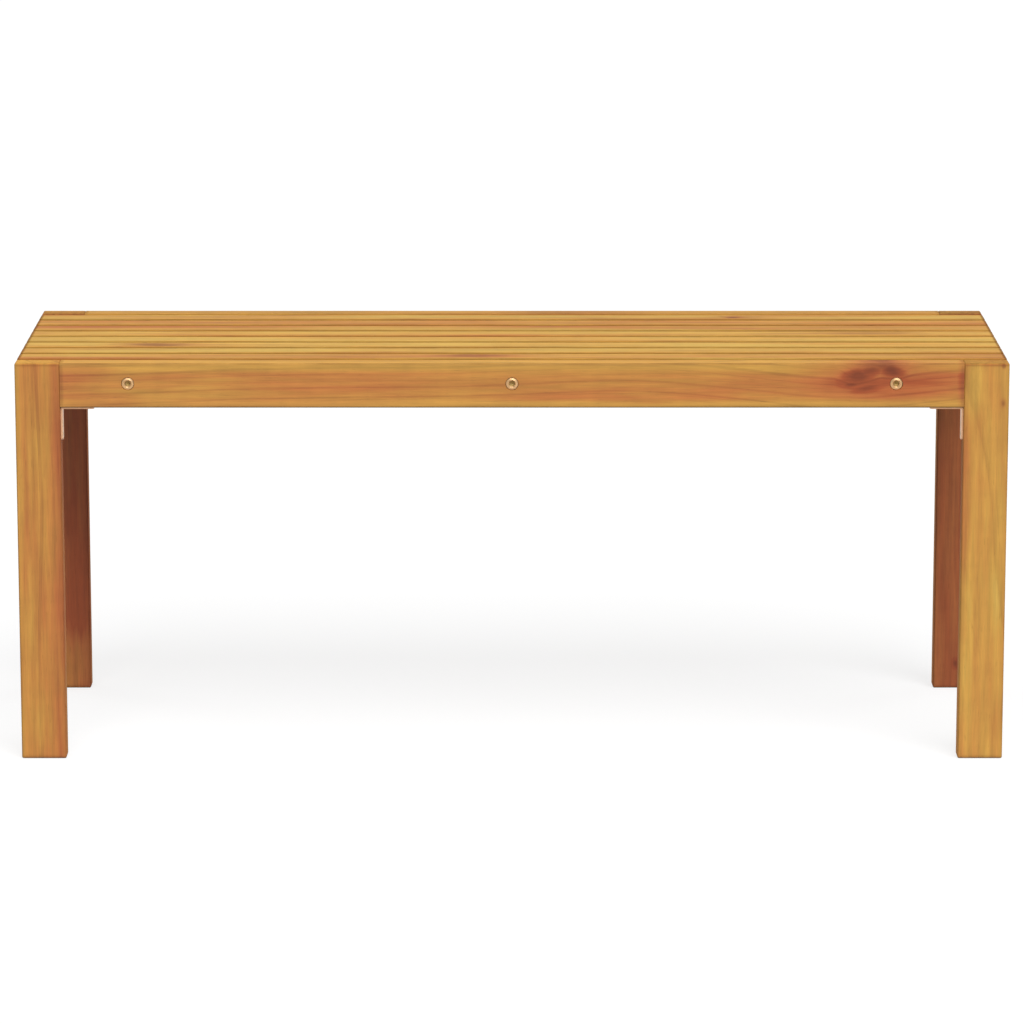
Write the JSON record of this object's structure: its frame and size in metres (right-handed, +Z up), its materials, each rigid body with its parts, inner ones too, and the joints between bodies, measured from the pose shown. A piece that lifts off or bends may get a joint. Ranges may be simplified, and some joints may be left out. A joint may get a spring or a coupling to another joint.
{
  "type": "slatted garden bench",
  "caption": "Backless slatted wooden garden bench with plank legs, bolted cross battens, flush aprons and metal corner brackets.",
  "frame": {"origin": "on the floor, below the middle of the seat", "axes": "+X along the seat to its right end as seen from the front, +Y from the front apron to the rear apron, +Z up"},
  "size_m": [1.1, 0.36, 0.45],
  "materials": {
    "front_apron_wood": "oiled golden-brown hardwood",
    "rear_apron_wood": "oiled golden-brown hardwood",
    "leg_front_left_wood": "oiled golden-brown hardwood",
    "leg_front_right_wood": "oiled golden-brown hardwood",
    "leg_rear_left_wood": "oiled golden-brown hardwood",
    "leg_rear_right_wood": "oiled golden-brown hardwood",
    "slat_1_wood": "oiled golden-brown hardwood",
    "slat_2_wood": "oiled golden-brown hardwood",
    "slat_3_wood": "oiled golden-brown hardwood",
    "slat_4_wood": "oiled golden-brown hardwood",
    "slat_5_wood": "oiled golden-brown hardwood",
    "slat_6_wood": "oiled golden-brown hardwood",
    "slat_7_wood": "oiled golden-brown hardwood",
    "slat_8_wood": "oiled golden-brown hardwood",
    "end_rail_left_wood": "oiled golden-brown hardwood",
    "end_rail_right_wood": "oiled golden-brown hardwood",
    "cross_batten_left_wood": "oiled golden-brown hardwood",
    "cross_batten_centre_wood": "oiled golden-brown hardwood",
    "cross_batten_right_wood": "oiled golden-brown hardwood",
    "bolt_steel": "yellow-passivated zinc on steel",
    "bracket_steel": "yellow-passivated zinc on steel",
    "screw_steel": "yellow-passivated zinc on steel",
    "nut_steel": "bright zinc on steel",
    "dowel_wood": "plain pale hardwood"
  },
  "bodies": {
    "root": {"front_apron": "front_apron_wood", "rear_apron": "rear_apron_wood", "leg_front_left": "leg_front_left_wood", "leg_front_right": "leg_front_right_wood", "leg_rear_left": "leg_rear_left_wood", "leg_rear_right": "leg_rear_right_wood", "slat_1": "slat_1_wood", "slat_2": "slat_2_wood", "slat_3": "slat_3_wood", "slat_4": "slat_4_wood", "slat_5": "slat_5_wood", "slat_6": "slat_6_wood", "slat_7": "slat_7_wood", "slat_8": "slat_8_wood", "end_rail_left": "end_rail_left_wood", "end_rail_right": "end_rail_right_wood", "cross_batten_left": "cross_batten_left_wood", "cross_batten_centre": "cross_batten_centre_wood", "cross_batten_right": "cross_batten_right_wood", "frame_bolts": "bolt_steel", "corner_bracket_front_left": "bracket_steel", "corner_bracket_front_right": "bracket_steel", "corner_bracket_rear_left": "bracket_steel", "corner_bracket_rear_right": "bracket_steel", "bracket_screws": "screw_steel", "slat_screws": "screw_steel", "barrel_nuts": "nut_steel", "dowels": "dowel_wood"}
  },
  "joints": []
}
